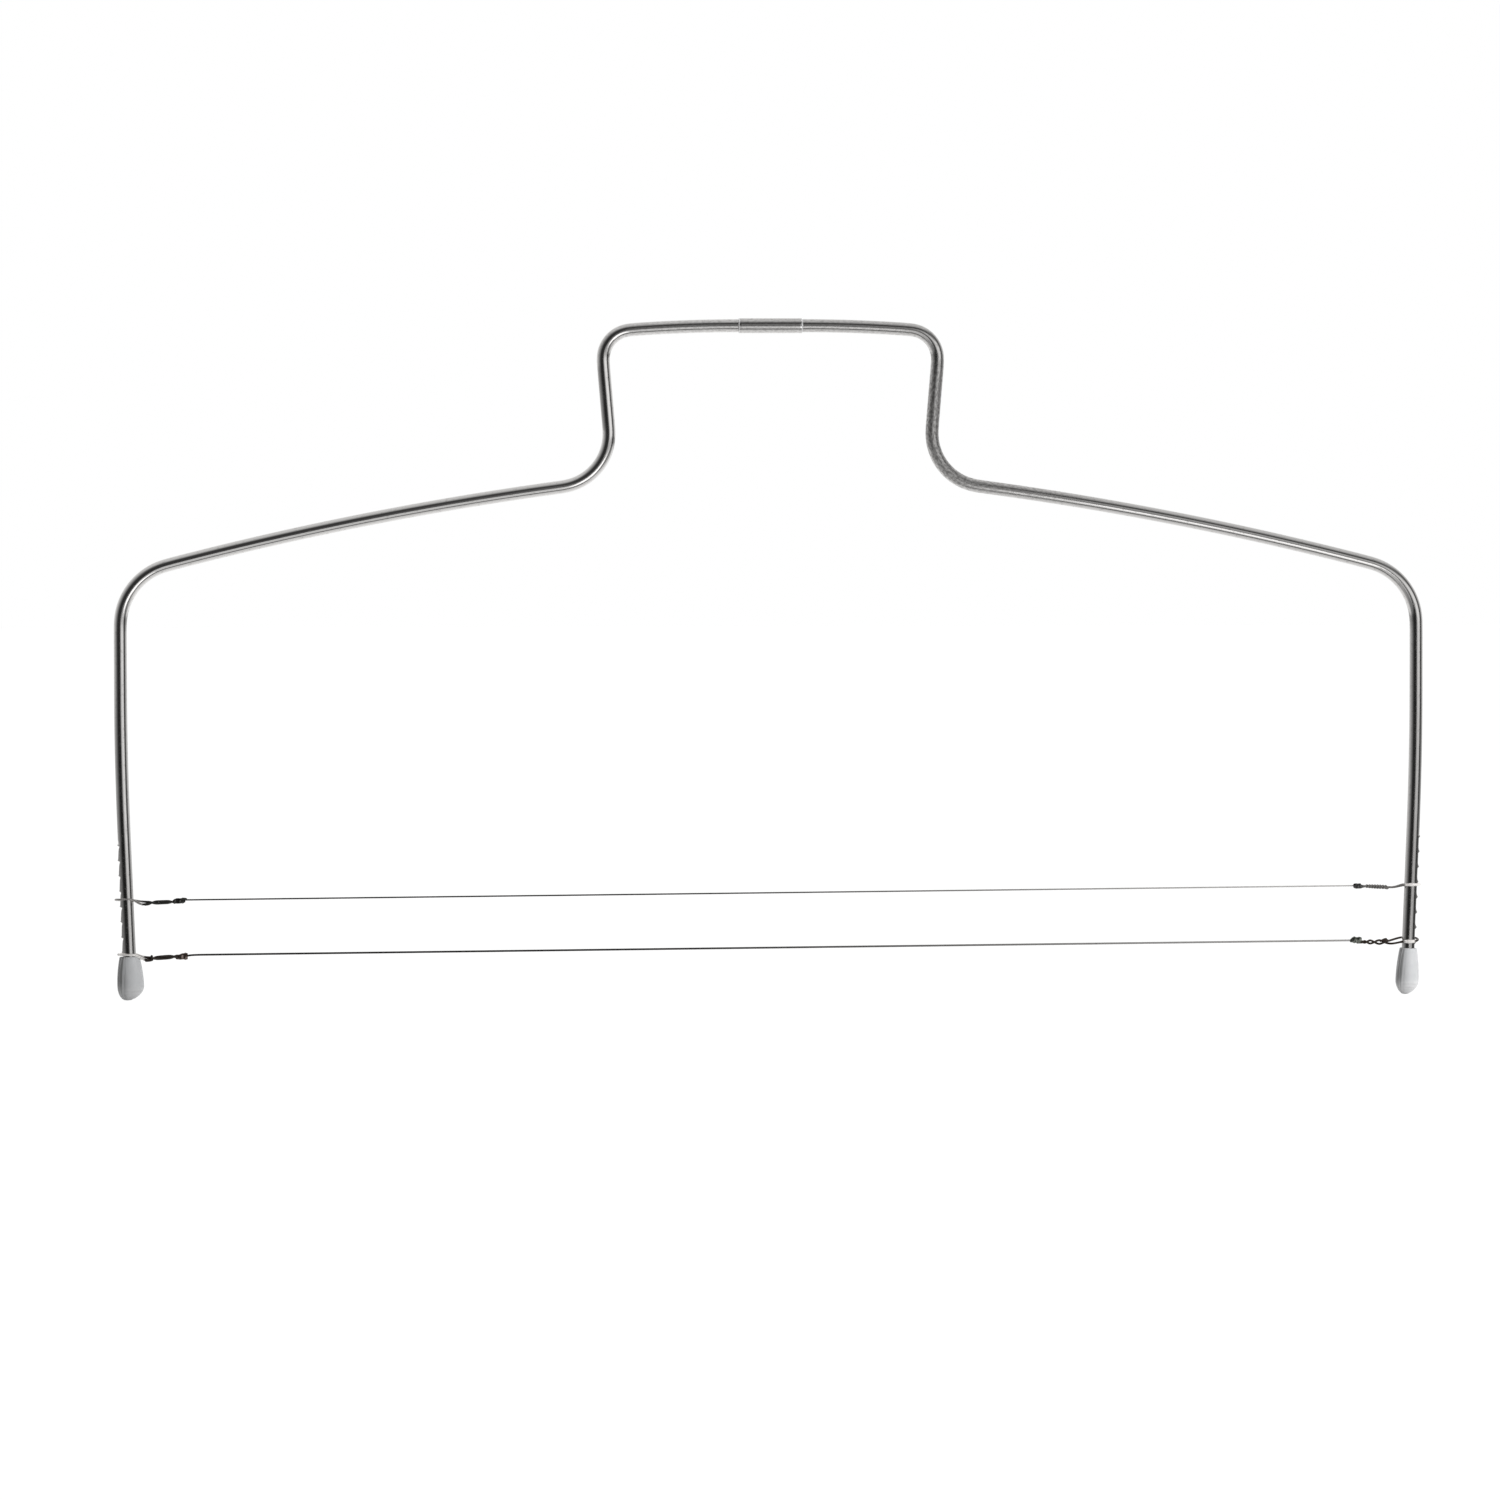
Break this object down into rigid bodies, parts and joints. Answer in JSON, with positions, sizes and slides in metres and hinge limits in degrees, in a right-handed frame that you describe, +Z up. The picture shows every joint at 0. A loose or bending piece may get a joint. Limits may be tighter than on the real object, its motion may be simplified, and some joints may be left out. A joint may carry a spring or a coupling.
{
  "type": "cake leveler",
  "caption": "Bow-shaped steel rod frame with a raised grip, two thin cutting wires tied across its notched legs, and oval plastic feet; levels and slices cake layers.",
  "frame": {"origin": "on the table, midway between the two feet and in the plane of the frame", "axes": "+X to the user's right along the cutting wires, +Y away from the user, +Z up from the feet to the grip"},
  "size_m": [0.33, 0.0066, 0.171],
  "materials": {
    "rod_steel": "drawn",
    "sleeve_steel": "drawn",
    "cap_plastic": "satin",
    "cutting_wire_steel": "plain",
    "hanger_steel": "plain",
    "ferrule_steel": "crimped"
  },
  "bodies": {
    "frame": {"left_frame_rod": "rod_steel", "right_frame_rod": "rod_steel", "joining_sleeve": "sleeve_steel", "left_end_cap": "cap_plastic", "right_end_cap": "cap_plastic"},
    "upper_wire": {"upper_cutting_wire": "cutting_wire_steel"},
    "lower_wire": {"lower_cutting_wire": "cutting_wire_steel"},
    "upper_left_tie": {"upper_left_hanger": "hanger_steel", "upper_left_ferrule": "ferrule_steel"},
    "upper_right_tie": {"upper_right_hanger": "hanger_steel", "upper_right_ferrule": "ferrule_steel"},
    "lower_left_tie": {"lower_left_hanger": "hanger_steel", "lower_left_ferrule": "ferrule_steel"},
    "lower_right_tie": {"lower_right_hanger": "hanger_steel", "lower_right_ferrule": "ferrule_steel"}
  },
  "joints": [
    {"name": "upper_wire_slide", "type": "slide", "parent": "frame", "child": "upper_wire", "axis": [0, 0, 1], "range_m": [-0.00385, 0.01155]},
    {"name": "lower_wire_slide", "type": "slide", "parent": "frame", "child": "lower_wire", "axis": [0, 0, 1], "range_m": [0, 0.0077]},
    {"name": "upper_left_tie_slide", "type": "slide", "parent": "frame", "child": "upper_left_tie", "axis": [-0.0436, 0, 0.999], "range_m": [-0.00386, 0.01157]},
    {"name": "upper_right_tie_slide", "type": "slide", "parent": "frame", "child": "upper_right_tie", "axis": [0.0436, 0, 0.999], "range_m": [-0.00386, 0.01157]},
    {"name": "lower_left_tie_slide", "type": "slide", "parent": "frame", "child": "lower_left_tie", "axis": [-0.0436, 0, 0.999], "range_m": [0, 0.00771]},
    {"name": "lower_right_tie_slide", "type": "slide", "parent": "frame", "child": "lower_right_tie", "axis": [0.0436, 0, 0.999], "range_m": [0, 0.00771]}
  ],
  "couplings": [
    {"joint": "upper_left_tie_slide", "follows": "upper_wire_slide", "ratio": 1.001},
    {"joint": "upper_right_tie_slide", "follows": "upper_wire_slide", "ratio": 1.001},
    {"joint": "lower_left_tie_slide", "follows": "lower_wire_slide", "ratio": 1.001},
    {"joint": "lower_right_tie_slide", "follows": "lower_wire_slide", "ratio": 1.001}
  ]
}
